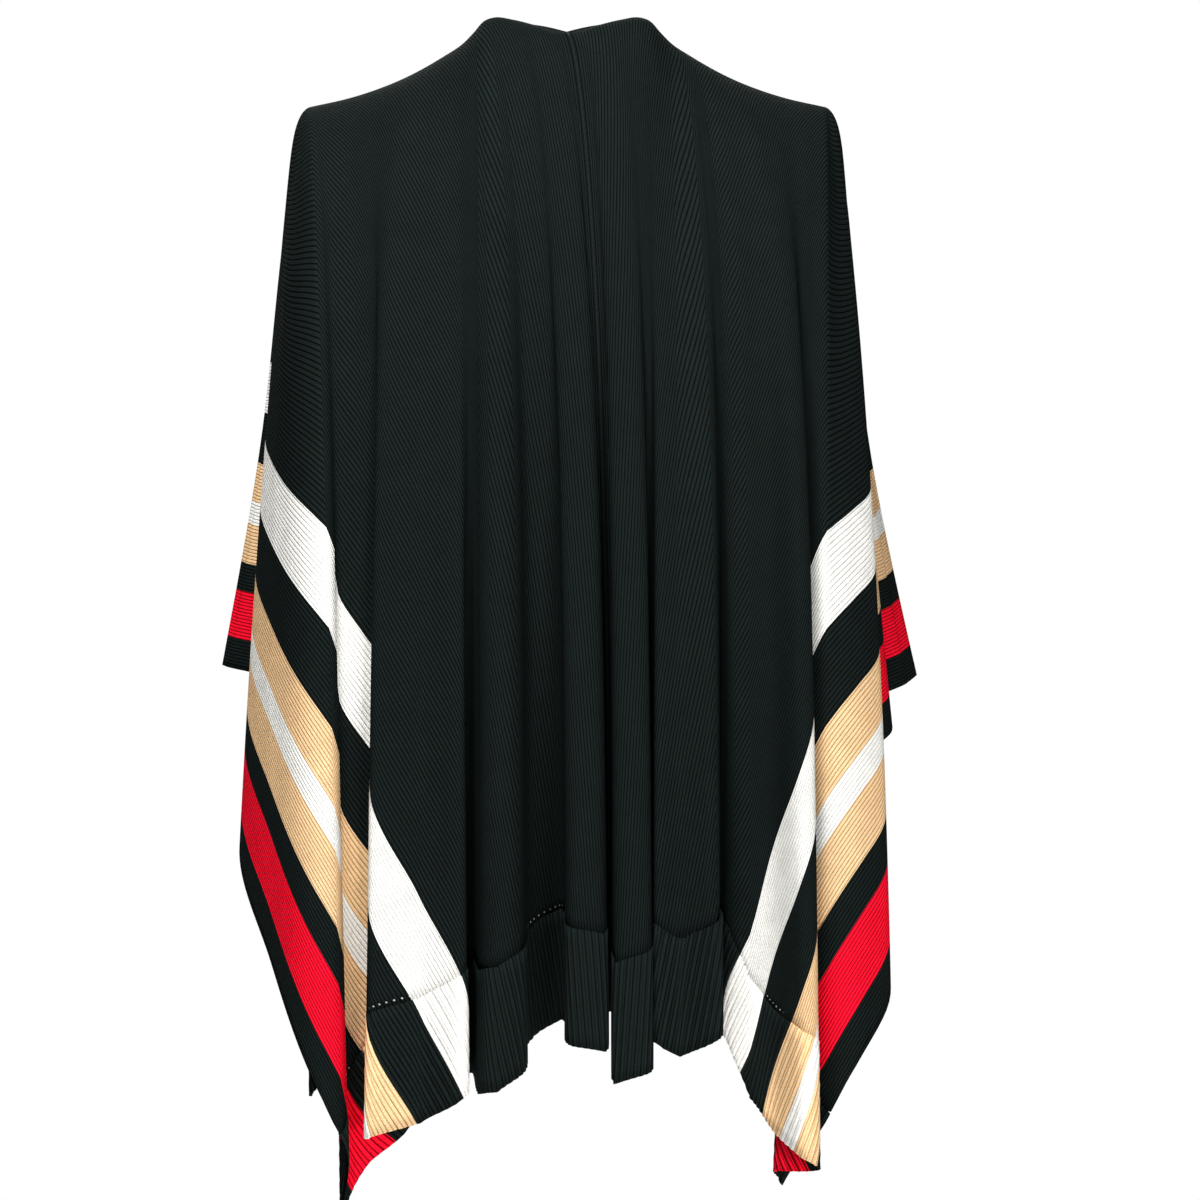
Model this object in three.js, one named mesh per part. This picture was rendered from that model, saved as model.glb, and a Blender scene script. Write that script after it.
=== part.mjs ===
// Knitted poncho sweater, open in front: two long panels that run from the front hem
// over a shoulder to the back hem and meet in a seam down the centre back.
// Millimetres, +Z up, the wearer faces -Y, +X is the wearer's left.
// The origin is midway between the two shoulder points, where the wearer holds it up.
import * as THREE from 'three';

// Cloth sizes, measured on the flat panel.
const LENGTH = 790;        // shoulder line to hem, front and back alike
const SHOULDER = 240;      // nape to shoulder point along the shoulder line
const DROP = 466;          // shoulder point to side edge
const RIB_DEPTH = 86;      // ribbed hem
const RIB_PITCH = 6.4;     // one rib and its groove
const RIB_HEIGHT = 0.9;    // rib above the groove
const WALL = 2.2;          // knitted cloth
const SEAM_GAP = 0.3;      // between the two panels at the centre back seam
const RIB_GAP = 1.1;       // down the cloth at a rib, so that slanting folds clear too
const REACH = 800;         // the fold tables are read this far below the shoulder line
const ROLL = 11;           // how far the cloth rolls out over the shoulder

// The front edges stand up round the neck.
const NECK_REACH = 115;    // along the shoulder line from the nape
const COLLAR_AT = 62;      // below the shoulder line, where it stands widest
const COLLAR_OUT = 42;
const COLLAR_UP = 24;

// Shoulder line from the nape to the shoulder point.
// along: cloth from the nape. across, out, up: place of that point.
const SHOULDER_COLUMNS = ['along', 'across', 'out', 'up'];
const SHOULDER_LINE = [
  [0, 0, 52, 51],
  [8, 8, 52, 51],
  [28, 26, 49, 57],
  [48, 44, 42, 63],
  [66, 60, 32, 67],
  [74, 67, 28, 65.5],
  [86, 76, 21, 57.5],
  [98, 85, 13, 50.5],
  [118, 101, 4, 42],
  [160, 137, 1, 23],
  [205, 179, 0, 8],
  [240, 214, 0, 0],
];

// Folds, one row for each crest, wall foot or edge, from the centre back seam round the
// side to the front edge.
// top: where the row leaves the shoulder line (240 is the shoulder point).
// fan: angle of the row in the cloth, 0 down the back, 90 along the sleeve, 180 down the front.
// across, out: where the smooth body of the garment passes at REACH.
// shift, sunk: how far the fold moves the cloth sideways and toward the back or front there.
// start: distance below the shoulder where the fold begins.
// settle: how soon the row swings to its own place, small is soon.
// turn: width of a tight fold's round back.
// stretch: hanging length of the knit over its flat length.
const FOLD_COLUMNS = [
  'name', 'top', 'fan', 'across', 'out', 'shift', 'sunk', 'start', 'settle', 'turn', 'stretch',
];
const LEFT_FOLDS = [
  ['centre_seam', 0, 0, -35, 150, 0, -82, 110, 0.3, 0, 1],
  ['seam_side', 6, 0.5, -31, 150, 6, -82, 110, 0.3, 0, 1],
  ['fold_1_right', 16, 4.6, -27, 150, -3, -4, 110, 0.28, 0, 1.03],
  ['fold_1_left', 34, 5.8, -6, 150, 0, 0, 120, 0.26, 0, 1.03],
  ['recess_right', 52, 9.9, 6, 150, -2, -78, 130, 0.25, 0, 1.01],
  ['recess_left', 68, 11, 26, 150, 3, -78, 130, 0.25, 0, 1.03],
  ['ridge_right', 74, 14.6, 37, 150, -2, -2, 140, 0.25, 0, 1.04],
  ['ridge', 79, 16, 52, 158, 0, 0, 140, 0.25, 0, 1.045],
  ['ridge_left', 83, 18.6, 66, 148, 0, -10, 160, 0.25, 0, 1.03],
  ['slot_right', 86, 21.4, 71, 150, 2, -60, 200, 0.25, 0, 0.995],
  ['slot_left', 88.5, 24.4, 77, 150, 9, -58, 200, 0.25, 0, 0.976],
  ['flat_right', 91, 26.4, 82, 150, -6, 0, 160, 0.26, 0, 0.966],
  ['flat', 122, 27.3, 112, 150, 0, -10, 160, 0.24, 0, 0.972],
  ['flat_left', 158, 27.6, 143, 150, 8, 1, 80, 0.22, 0, 0.965],
  ['flat_edge', 166, 27.8, 145, 150, 8, -7, 70, 0.22, 0, 0.96],
  ['tuck_inside', 190, 28.3, 149, 148, -25, -26, 60, 0.22, 0, 0.935],
  ['tuck_foot', 200, 28.5, 151, 148, -26, -37, 60, 0.22, 0, 0.935],
  ['strip_right', 216, 29.3, 157, 146, -1, -43, 60, 0.22, 0, 0.955],
  ['strip_left', 232, 30.6, 178, 144, -1, -42, 60, 0.22, 0, 0.985],
  ['outer_right', 240, 33.4, 190, 146, -16, 0, 60, 0.22, 0, 0.99],
  ['outer_top', 240, 34, 196, 145, -15, 5, 60, 0.24, 0, 0.985],
  ['outer', 240, 40, 242, 100, -8, 0, 60, 0.4, 0, 0.96],
  ['back_outline', 240, 47, 276, 8, 0, 0, 0, 0.8, 0, 0.945],
  ['side_tuck_1_back', 240, 56, 280, -10, -128, 2, 80, 1, 0, 0.96],
  ['side_tuck_1_front', 240, 58.5, 284, -16, -130, -6, 80, 1, 0, 0.97],
  ['side_fold_back', 240, 66, 288, -30, -22, 0, 80, 1, 0, 1],
  ['side_fold_front', 240, 68, 290, -36, -22, -6, 80, 1, 0, 1],
  ['side_tuck_2_back', 240, 76, 298, -55, -154, -2, 80, 1, 0, 1],
  ['side_tuck_2_front', 240, 78.5, 300, -62, -154, -6, 80, 1, 0, 1],
  ['sleeve_back', 240, 87, 303, -80, -12, -2, 80, 2, 0, 1.02],
  ['sleeve_end', 240, 91, 308, -90, 42, -2, 280, 2, 0, 1.02],
  ['front_tuck_back', 240, 107, 312, -108, -134, -2, 80, 1, 0, 1],
  ['front_tuck_front', 240, 110.5, 308, -116, -132, -6, 80, 1, 0, 1],
  ['front_side', 240, 130, 290, -140, -6, -2, 40, 1, 0, 1],
  ['front_outline', 240, 139, 274, -165, 0, 0, 0, 0.6, 0, 1],
  ['front_crest_1', 240, 146.5, 247, -190, -2, -18, 60, 0.4, -9, 0.955],
  ['front_valley_1', 240, 150.9, 222, -190, 0, 24, 60, 0.3, -9, 0.95],
  ['front_crest_2', 240, 154.4, 207, -190, 0, -22, 80, 0.28, -9, 0.965],
  ['front_valley_2', 240, 158.9, 190, -190, 0, 22, 80, 0.28, -9, 1],
  ['front_crest_3', 240, 163.4, 172, -190, 0, -22, 120, 0.28, -9, 1],
  ['front_valley_3', 200, 165.8, 155, -190, 0, 30, 140, 0.28, -9, 1],
  ['front_crest_4', 166, 167.9, 135, -190, 0, -24, 160, 0.28, -9, 1],
  ['front_valley_4', 122, 170.3, 118, -190, 0, 30, 170, 0.28, -9, 1],
  ['front_crest_5', 91, 172.8, 98, -190, 0, -22, 170, 0.28, -9, 1],
  ['front_valley_5', 52, 175.5, 80, -188, 0, 28, 170, 0.28, -9, 1],
  ['front_crest_6', 16, 178.4, 62, -185, 0, -14, 170, 0.28, -9, 1],
  ['front_edge', 0, 180, 40, -185, 0, 14, 170, 0.28, 0, 1],
];

const RIGHT_FOLDS = [
  ['centre_seam', 0, 0, 35, 150, 0, -82, 110, 0.3, 0, 1],
  ['seam_side', 6, 0.5, 39, 150, 6, -82, 110, 0.3, 0, 1],
  ['fold_2_left', 16, 4.6, 43, 150, -4, -2, 110, 0.3, 0, 1.06],
  ['fold_2_right', 34, 6, 63, 152, 1, 0, 110, 0.3, 0, 1.055],
  ['slot_left', 50, 9.3, 67, 150, -5, -58, 150, 0.28, 0, 1.03],
  ['slot_right', 60, 10.2, 70, 150, 3, -60, 150, 0.28, 0, 1.02],
  ['ridge_left', 76, 11.7, 76, 150, -6, -10, 150, 0.28, 0, 1.02],
  ['ridge_hollow', 95, 12, 89, 150, 0, -18, 150, 0.26, 0, 1.02],
  ['ridge_right', 104, 14, 119, 150, 0, 2, 150, 0.26, 0, 0.99],
  ['ridge_foot', 106.5, 16, 122, 150, -5, -24, 160, 0.255, 0, 0.96],
  ['recess_left', 109, 19, 125, 150, -18, -84, 170, 0.25, 0, 0.93],
  ['recess', 113, 20.4, 128, 150, -10, -92, 170, 0.25, 0, 0.92],
  ['recess_right', 118, 24, 134, 150, -6, -54, 170, 0.25, 0, 0.93],
  ['white_side', 126, 25.8, 147, 150, -1, -50, 170, 0.24, 0, 0.965],
  ['step', 140, 28, 166, 150, 0, -38, 130, 0.24, 0, 0.97],
  ['ridge_outer', 154, 29.2, 182, 150, 1, 0, 80, 0.22, 0, 0.97],
  ['edge', 172, 30, 190, 148, 5, -6, 60, 0.22, 0, 0.965],
  ['tuck_inside', 202, 30.9, 194, 140, -25, -48, 60, 0.22, 0, 0.95],
  ['tuck_foot', 216, 31.4, 197, 138, -24, -58, 60, 0.22, 0, 0.95],
  ['outer_left', 240, 33.2, 204, 134, 0, -20, 60, 0.24, 0, 0.97],
  ['outer', 240, 36, 230, 120, 0, 0, 0, 0.4, 0, 0.98],
  ['back_outline', 240, 38.5, 255, 98, 0, 0, 0, 0.5, 0, 0.985],
  ['side_tuck_1_back', 240, 51, 265, 66, -140, -8, 60, 1, 0, 1],
  ['side_tuck_1_front', 240, 54, 268, 58, -141, -14, 60, 1, 0, 1],
  ['side_fold', 240, 68, 268, 22, 24, 4, 260, 1, 0, 1.03],
  ['sleeve_hollow', 240, 76, 280, -28, -20, 0, 60, 1, 0, 1.03],
  ['sleeve_back', 240, 84, 284, -78, 64, 0, 230, 2, 0, 1.04],
  ['sleeve_end', 240, 91, 291, -106, 80, 0, 230, 2, 0, 1.04],
  ['front_tuck_back', 240, 107, 310, -122, -132, 0, 80, 1, 0, 1],
  ['front_tuck_front', 240, 110.5, 308, -130, -130, -4, 80, 1, 0, 1],
  ['front_side', 240, 130, 284, -152, -6, 0, 40, 1, 0, 1],
  ['front_outline', 240, 139, 269, -176, 0, 0, 0, 0.6, 0, 1],
  ['front_crest_1', 240, 146.5, 247, -198, -2, -18, 60, 0.4, -9, 0.955],
  ['front_valley_1', 240, 150.9, 221, -198, 0, 24, 60, 0.3, -9, 0.95],
  ['front_crest_2', 240, 155, 204, -196, 0, -28, 80, 0.28, -9, 0.965],
  ['front_valley_2', 240, 160.2, 182, -194, 0, 34, 80, 0.28, -9, 1],
  ['front_crest_3', 202, 163.8, 162, -192, 0, -24, 120, 0.28, -9, 1],
  ['front_valley_3', 154, 167, 140, -190, 0, 34, 140, 0.28, -9, 1],
  ['front_crest_4', 112, 170.2, 116, -190, 0, -26, 160, 0.28, -9, 1],
  ['front_valley_4', 76, 173.4, 94, -188, 0, 34, 170, 0.28, -9, 1],
  ['front_crest_5', 34, 177.6, 68, -186, 0, -16, 170, 0.28, -9, 1],
  ['front_edge', 0, 180, 46, -184, 0, 12, 170, 0.28, 0, 1],
];

const named = (columns, rows) => rows.map((row) => (
  Object.fromEntries(columns.map((column, i) => [column, row[i]]))
));

const radians = THREE.MathUtils.degToRad;

// A smooth curve through the named column of a table, over its running coordinate.
function smoothColumn(places, values) {
  const last = places.length - 1;
  const slopes = values.map((value, i) => {
    const before = i > 0 ? (value - values[i - 1]) / (places[i] - places[i - 1]) : null;
    const after = i < last ? (values[i + 1] - value) / (places[i + 1] - places[i]) : null;
    if (before === null) return after;
    if (after === null) return before;
    const h0 = places[i] - places[i - 1];
    const h1 = places[i + 1] - places[i];
    return (before * h1 + after * h0) / (h0 + h1);
  });
  return (t) => {
    let i = 0;
    while (i < last - 1 && t > places[i + 1]) i += 1;
    const h = places[i + 1] - places[i];
    const u = (t - places[i]) / h;
    const v = 1 - u;
    return values[i] * v * v * (1 + 2 * u) + values[i + 1] * u * u * (3 - 2 * u)
      + h * slopes[i] * u * v * v - h * slopes[i + 1] * u * u * v;
  };
}

function straightColumn(places, values) {
  const last = places.length - 1;
  return (t) => {
    let i = 0;
    while (i < last - 1 && t > places[i + 1]) i += 1;
    const u = (t - places[i]) / (places[i + 1] - places[i]);
    return values[i] + (values[i + 1] - values[i]) * u;
  };
}

const line = named(SHOULDER_COLUMNS, SHOULDER_LINE);
const alongPlaces = line.map((row) => row.along);
const shoulder = {
  across: smoothColumn(alongPlaces, line.map((row) => row.across)),
  out: smoothColumn(alongPlaces, line.map((row) => row.out)),
  up: smoothColumn(alongPlaces, line.map((row) => row.up)),
};

// One draped panel: where a row of the fold table, at any running coordinate t, passes at a
// distance below the shoulder line that is measured on the flat cloth.
function drapedPanel(table, side) {
  const folds = named(FOLD_COLUMNS, table).flatMap((row) => {
    if (row.turn === 0) return [row];
    return [-1, 1].map((end) => ({
      ...row,
      fan: row.fan + end * Math.abs(row.turn) / 2 / REACH / radians(1),
      across: row.across + end * row.turn / 2,
    }));
  });
  const places = [0];
  folds.forEach((row, i) => {
    if (i === 0) return;
    const before = folds[i - 1];
    const turned = REACH * radians(row.fan - before.fan);
    places.push(places[i - 1] + Math.abs(row.top - before.top) + turned);
  });
  const smooth = (key) => smoothColumn(places, folds.map((row) => row[key]));
  const straight = (key) => straightColumn(places, folds.map((row) => row[key]));
  const across = smooth('across');
  const out = smooth('out');
  const shift = smooth('shift');
  const sunk = smooth('sunk');
  const top = straight('top');
  const fan = straight('fan');
  const start = straight('start');
  const settle = straight('settle');
  const stretch = straight('stretch');
  const lastPlace = places[places.length - 1];

  const point = (t, flat) => {
    const r = flat * stretch(t);
    const from = top(t);
    const anchor = {
      across: shoulder.across(from),
      out: shoulder.out(from),
      up: shoulder.up(from),
    };
    const spread = settle(t);
    const swing = (1 - Math.exp(-r / (REACH * spread))) / (1 - Math.exp(-1 / spread));
    const grown = Math.max(0, (r - start(t)) / (REACH - start(t)));
    const fold = grown * grown * 1.12 / (grown + 0.12);
    let x = (across(t) - anchor.across) * swing + shift(t) * fold;
    let y = (out(t) - anchor.out) * swing + sunk(t) * fold;
    // The cloth rolls over the shoulder before it hangs.
    const reach = Math.hypot(across(t) - anchor.across, out(t) - anchor.out);
    const steep = reach / (REACH * spread * (1 - Math.exp(-1 / spread)));
    const roll = Math.max(0, 0.93 - steep);
    const rollOut = ROLL * (1 - Math.exp(-roll * r / ROLL)) * Math.exp(-r / 260);
    x += rollOut * (across(t) - anchor.across) / reach;
    y += rollOut * (out(t) - anchor.out) / reach;
    const nearNeck = fan(t) > 90 ? Math.max(0, 1 - from / NECK_REACH) : 0;
    const collar = nearNeck * nearNeck * (r / COLLAR_AT) * Math.exp(1 - r / COLLAR_AT);
    x += COLLAR_OUT * collar;
    const drop = Math.sqrt(Math.max(r * r - x * x - y * y, 0.05 * r * r));
    return new THREE.Vector3(
      side * (anchor.across + x + SEAM_GAP / 2),
      anchor.out + y,
      anchor.up - drop + COLLAR_UP * collar,
    );
  };
  const tops = folds.map((row) => row.top);
  return { point, top, fan, tops, places, lastPlace, side };
}

// Where t passes a given place on the shoulder line, on the back or on the front.
function placeOfTop(panel, wanted, onFront) {
  let low = onFront ? panel.lastPlace / 2 : 0;
  let high = onFront ? panel.lastPlace : panel.lastPlace / 2;
  for (let step = 0; step < 50; step += 1) {
    const middle = (low + high) / 2;
    const short = panel.top(middle) < wanted - 1e-9;
    if (short === onFront) high = middle;
    else low = middle;
  }
  return (low + high) / 2;
}

// Where t passes a given fan angle.
function placeOfFan(panel, wanted) {
  let low = 0;
  let high = panel.lastPlace;
  for (let step = 0; step < 50; step += 1) {
    const middle = (low + high) / 2;
    if (panel.fan(middle) < wanted) low = middle;
    else high = middle;
  }
  return (low + high) / 2;
}

function sheetNormals(points, faces) {
  const normals = points.map(() => new THREE.Vector3());
  const one = new THREE.Vector3();
  const two = new THREE.Vector3();
  faces.forEach(([i, j, k]) => {
    one.subVectors(points[j], points[i]);
    two.subVectors(points[k], points[i]);
    one.cross(two);
    [i, j, k].forEach((corner) => normals[corner].add(one));
  });
  normals.forEach((normal) => normal.normalize());
  return normals;
}

// A wall of cloth round a sheet of middle points.
function wallSolid(name, material, { points, faces, normals }) {
  const edges = new Map();
  faces.forEach(([i, j, k]) => {
    [[i, j], [j, k], [k, i]].forEach(([p, q]) => {
      const back = q + ',' + p;
      if (edges.has(back)) edges.delete(back);
      else edges.set(p + ',' + q, [p, q]);
    });
  });
  const count = points.length;
  const positions = [];
  [WALL / 2, -WALL / 2].forEach((lift) => {
    points.forEach((point, i) => {
      positions.push(...point.clone().addScaledVector(normals[i], lift).toArray());
    });
  });
  const index = [];
  faces.forEach(([i, j, k]) => {
    index.push(i, j, k);
    index.push(count + i, count + k, count + j);
  });
  edges.forEach(([p, q]) => {
    index.push(q, p, count + p);
    index.push(q, count + p, count + q);
  });
  return namedMesh(name, material, positions, index);
}

function namedMesh(name, material, positions, index) {
  const geometry = new THREE.BufferGeometry();
  geometry.setAttribute('position', new THREE.Float32BufferAttribute(positions, 3));
  geometry.setIndex(index);
  geometry.computeVertexNormals();
  const mesh = new THREE.Mesh(geometry, material);
  mesh.name = name;
  return mesh;
}

// Rows of a panel, as shares of the way from the shoulder line to the rib or the side edge.
const ROW_SHARES = [0.025, 0.07, 0.14, 0.24, 0.38, 0.58, 0.79, 1];
const COLUMN_STEP = 21;
const BODY_END = LENGTH - RIB_DEPTH - RIB_GAP / 2;

// The columns of a panel: those that leave the shoulder line twice, down the back and down
// the front, and between them the fan that leaves the shoulder point.
function panelColumns(panel) {
  const knots = [...new Set(panel.tops)].sort((a, b) => a - b);
  const tops = [0];
  for (let i = 1; i < knots.length; i += 1) {
    const lengths = [false, true].map((onFront) => Math.abs(
      placeOfTop(panel, knots[i], onFront) - placeOfTop(panel, knots[i - 1], onFront),
    ));
    const steps = Math.max(1, Math.round(Math.max(...lengths) / COLUMN_STEP));
    for (let step = 1; step <= steps; step += 1) {
      tops.push(knots[i - 1] + (knots[i] - knots[i - 1]) * step / steps);
    }
  }
  const onLine = tops.slice(0, -1);
  const fanStart = placeOfTop(panel, SHOULDER, false);
  const fanEnd = placeOfTop(panel, SHOULDER - 1e-6, true);
  const corner = Math.atan(DROP / BODY_END) / radians(1);
  const corners = [corner, 180 - corner].map((fan) => placeOfFan(panel, fan));
  const inFan = panel.places.filter((place) => place > fanStart + 1 && place < fanEnd - 1
    && corners.every((other) => Math.abs(place - other) > 5));
  const stops = [fanStart, ...inFan, ...corners, fanEnd].sort((a, b) => a - b);
  const columns = onLine.map((top) => placeOfTop(panel, top, false));
  columns.push(fanStart);
  for (let i = 1; i < stops.length; i += 1) {
    const length = stops[i] - stops[i - 1];
    const steps = Math.max(length > 12 ? 2 : 1, Math.round(length / COLUMN_STEP));
    for (let step = 1; step <= steps; step += 1) columns.push(stops[i - 1] + length * step / steps);
  }
  const fanLast = columns.length - 1;
  onLine.reverse().forEach((top) => columns.push(placeOfTop(panel, top, true)));
  return { columns, tops, fanLast };
}

// The sheet of middle points of one panel, and the normals of its wall.
function panelSheet(panel) {
  const { columns, tops, fanLast } = panelColumns(panel);
  const lastTop = tops.length - 1;
  const points = tops.map((top) => panel.point(placeOfTop(panel, top, false), 0));
  columns.forEach((t) => {
    const angle = radians(panel.fan(t));
    const toRib = BODY_END / Math.max(Math.abs(Math.cos(angle)), 1e-6);
    const toSide = DROP / Math.max(Math.sin(angle), 1e-6);
    ROW_SHARES.forEach((share) => points.push(panel.point(t, Math.min(toRib, toSide) * share)));
  });
  const anchorOf = (column) => {
    if (column <= lastTop) return column;
    if (column <= fanLast) return lastTop;
    return columns.length - 1 - column;
  };
  const at = (column, row) => {
    if (row < 0) return anchorOf(column);
    return tops.length + column * ROW_SHARES.length + row;
  };
  const faces = [];
  const addFace = (i, j, k) => {
    if (i === j || j === k || k === i) return;
    faces.push(panel.side > 0 ? [i, j, k] : [i, k, j]);
  };
  for (let column = 0; column + 1 < columns.length; column += 1) {
    for (let row = -1; row + 1 < ROW_SHARES.length; row += 1) {
      addFace(at(column, row), at(column + 1, row), at(column + 1, row + 1));
      addFace(at(column, row), at(column + 1, row + 1), at(column, row + 1));
    }
  }
  const normals = sheetNormals(points, faces);
  const bottomNormals = columns.map((t, column) => normals[at(column, ROW_SHARES.length - 1)]);
  return { columns, points, faces, normals, bottomNormals };
}

// A ribbed hem: ribs run down the cloth, so its columns keep one distance from the seam.
// The outer face has a crest and a groove for each rib, the inner face is plain. Its points
// lie on the panel's own columns, so the two meet evenly.
function ribSolid(name, material, panel, sheet, onFront) {
  const flip = (panel.side > 0) === onFront;
  const near = sheet.columns.map((t, column) => ({ t, column })).filter(({ t }) => {
    const fan = onFront ? 180 - panel.fan(t) : panel.fan(t);
    return fan < 40;
  });
  if (onFront) near.reverse();
  const edgeAt = (b) => near.map(({ t, column }) => {
    const angle = radians(onFront ? 180 - panel.fan(t) : panel.fan(t));
    return {
      a: panel.top(t) + b * Math.tan(angle),
      point: panel.point(t, b / Math.cos(angle)),
      normal: sheet.bottomNormals[column],
    };
  });
  const levels = [LENGTH - RIB_DEPTH + RIB_GAP / 2, LENGTH].map(edgeAt);
  levels[1].forEach((spot, i) => {
    const before = levels[1][Math.max(i - 1, 0)].point;
    const after = levels[1][Math.min(i + 1, near.length - 1)].point;
    const along = new THREE.Vector3().subVectors(after, before);
    const down = new THREE.Vector3().subVectors(spot.point, levels[0][i].point);
    spot.normal = along.cross(down).normalize().multiplyScalar(flip ? -1 : 1);
  });
  const spotAt = (level, a) => {
    const spots = levels[level];
    let i = 0;
    while (i < spots.length - 2 && spots[i + 1].a < a) i += 1;
    const u = (a - spots[i].a) / (spots[i + 1].a - spots[i].a);
    return {
      point: spots[i].point.clone().lerp(spots[i + 1].point, u),
      normal: spots[i].normal.clone().lerp(spots[i + 1].normal, u),
    };
  };
  const grooves = [0];
  const width = SHOULDER + DROP;
  const stops = levels[0].filter(({ a }) => a > 1 && a < width - 1);
  stops.concat({ a: width }).forEach(({ a }) => {
    const from = grooves[grooves.length - 1];
    const count = Math.max(1, Math.round((a - from) / RIB_PITCH));
    for (let rib = 1; rib <= count; rib += 1) grooves.push(from + (a - from) * rib / count);
  });
  const ribs = grooves.length - 1;
  const columns = ribs * 2;
  const clothAt = (i) => (grooves[Math.floor(i / 2)] + grooves[Math.ceil(i / 2)]) / 2;
  const positions = [];
  const addPoint = (level, i, lift) => {
    const { point, normal } = spotAt(level, clothAt(i));
    positions.push(...point.addScaledVector(normal, lift).toArray());
    return positions.length / 3 - 1;
  };
  const outer = [[], []];
  const inner = [[], []];
  [0, 1].forEach((level) => {
    for (let i = 0; i <= columns; i += 1) {
      outer[level].push(addPoint(level, i, WALL / 2 + (i % 2 === 1 ? RIB_HEIGHT : 0)));
      if (i % 2 === 0) inner[level].push(addPoint(level, i, -WALL / 2));
    }
  });
  const index = [];
  const addFace = (i, j, k) => index.push(...(flip ? [i, k, j] : [i, j, k]));
  for (let i = 0; i < columns; i += 1) {
    addFace(outer[0][i], outer[0][i + 1], outer[1][i + 1]);
    addFace(outer[0][i], outer[1][i + 1], outer[1][i]);
  }
  for (let rib = 0; rib < ribs; rib += 1) {
    const i = rib * 2;
    addFace(inner[0][rib], inner[1][rib + 1], inner[0][rib + 1]);
    addFace(inner[0][rib], inner[1][rib], inner[1][rib + 1]);
    [0, 1].forEach((level) => {
      const cap = level === 0 ? (p, q, r) => addFace(p, q, r) : (p, q, r) => addFace(p, r, q);
      cap(outer[level][i], inner[level][rib], outer[level][i + 1]);
      cap(inner[level][rib], inner[level][rib + 1], outer[level][i + 1]);
      cap(outer[level][i + 1], inner[level][rib + 1], outer[level][i + 2]);
    });
  }
  addFace(outer[0][0], outer[1][0], inner[1][0]);
  addFace(outer[0][0], inner[1][0], inner[0][0]);
  addFace(outer[0][columns], inner[1][ribs], outer[1][columns]);
  addFace(outer[0][columns], inner[0][ribs], inner[1][ribs]);
  return namedMesh(name, material, positions, index);
}

// The knit is nearly black; its side stripes are colour alone.
const yarn = (name) => new THREE.MeshStandardMaterial({
  name,
  color: 0x23282a,
  roughness: 0.9,
  metalness: 0,
});

const left = drapedPanel(LEFT_FOLDS, 1);
const right = drapedPanel(RIGHT_FOLDS, -1);

const leftSheet = panelSheet(left);
const rightSheet = panelSheet(right);

const garment = new THREE.Group();
garment.name = 'poncho_sweater';
garment.add(wallSolid('left_panel', yarn('left_knit'), leftSheet));
garment.add(wallSolid('right_panel', yarn('right_knit'), rightSheet));
garment.add(ribSolid('left_back_rib', yarn('left_back_rib_knit'), left, leftSheet, false));
garment.add(ribSolid('left_front_rib', yarn('left_front_rib_knit'), left, leftSheet, true));
garment.add(ribSolid('right_back_rib', yarn('right_back_rib_knit'), right, rightSheet, false));
garment.add(ribSolid('right_front_rib', yarn('right_front_rib_knit'), right, rightSheet, true));

export default garment;
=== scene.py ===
# %% [markdown]
# A knitted poncho sweater, seen from behind and hanging as it is worn. It is two long
# striped panels that run from the back hem over a shoulder to the front hem. They meet in
# a seam down the centre back, and the front is open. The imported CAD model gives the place
# and size of every panel; the script builds the knitted cloth on the same folds.

# %%
import math

import bmesh
import bpy
import numpy as np
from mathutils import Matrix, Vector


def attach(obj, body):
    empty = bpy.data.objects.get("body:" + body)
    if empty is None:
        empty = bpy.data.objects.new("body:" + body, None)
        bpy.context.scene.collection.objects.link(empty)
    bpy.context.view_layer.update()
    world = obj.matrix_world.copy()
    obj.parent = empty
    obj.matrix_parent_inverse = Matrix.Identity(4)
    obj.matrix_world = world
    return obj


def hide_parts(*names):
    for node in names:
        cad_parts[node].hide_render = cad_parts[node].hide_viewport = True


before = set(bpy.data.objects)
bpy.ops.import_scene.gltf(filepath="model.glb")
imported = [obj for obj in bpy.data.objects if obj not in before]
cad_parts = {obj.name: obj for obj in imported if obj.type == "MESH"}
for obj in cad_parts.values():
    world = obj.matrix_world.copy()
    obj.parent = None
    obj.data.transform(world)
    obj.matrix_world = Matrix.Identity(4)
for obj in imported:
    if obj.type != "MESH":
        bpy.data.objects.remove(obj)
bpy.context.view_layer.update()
print("CAD nodes:", sorted(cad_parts))

# %% [markdown]
# The cloth sizes and the fold tables are the CAD part's own, in millimetres. Each row of a
# fold table is one crest, wall foot or edge of the drape, from the centre back seam round
# the side to the front edge, read 800 mm below the shoulder line.

# %%
MM = 0.001
LENGTH = 790
SHOULDER = 240
DROP = 466
RIB_DEPTH = 86
RIB_PITCH = 6.4
WALL = 2.2
REACH = 800
ROLL = 11
NECK_REACH = 115
COLLAR_AT = 62
COLLAR_OUT = 42
COLLAR_UP = 24
FOLD_EASE = 0.12
ROLL_START = 0.93
ROLL_FADE = 260
LEAST_DROP = 0.05

SHOULDER_COLUMNS = ("along", "across", "out", "up")
SHOULDER_LINE = [
    (0, 0, 52, 51),
    (8, 8, 52, 51),
    (28, 26, 49, 57),
    (48, 44, 42, 63),
    (66, 60, 32, 67),
    (74, 67, 28, 65.5),
    (86, 76, 21, 57.5),
    (98, 85, 13, 50.5),
    (118, 101, 4, 42),
    (160, 137, 1, 23),
    (205, 179, 0, 8),
    (240, 214, 0, 0),
]

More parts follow.
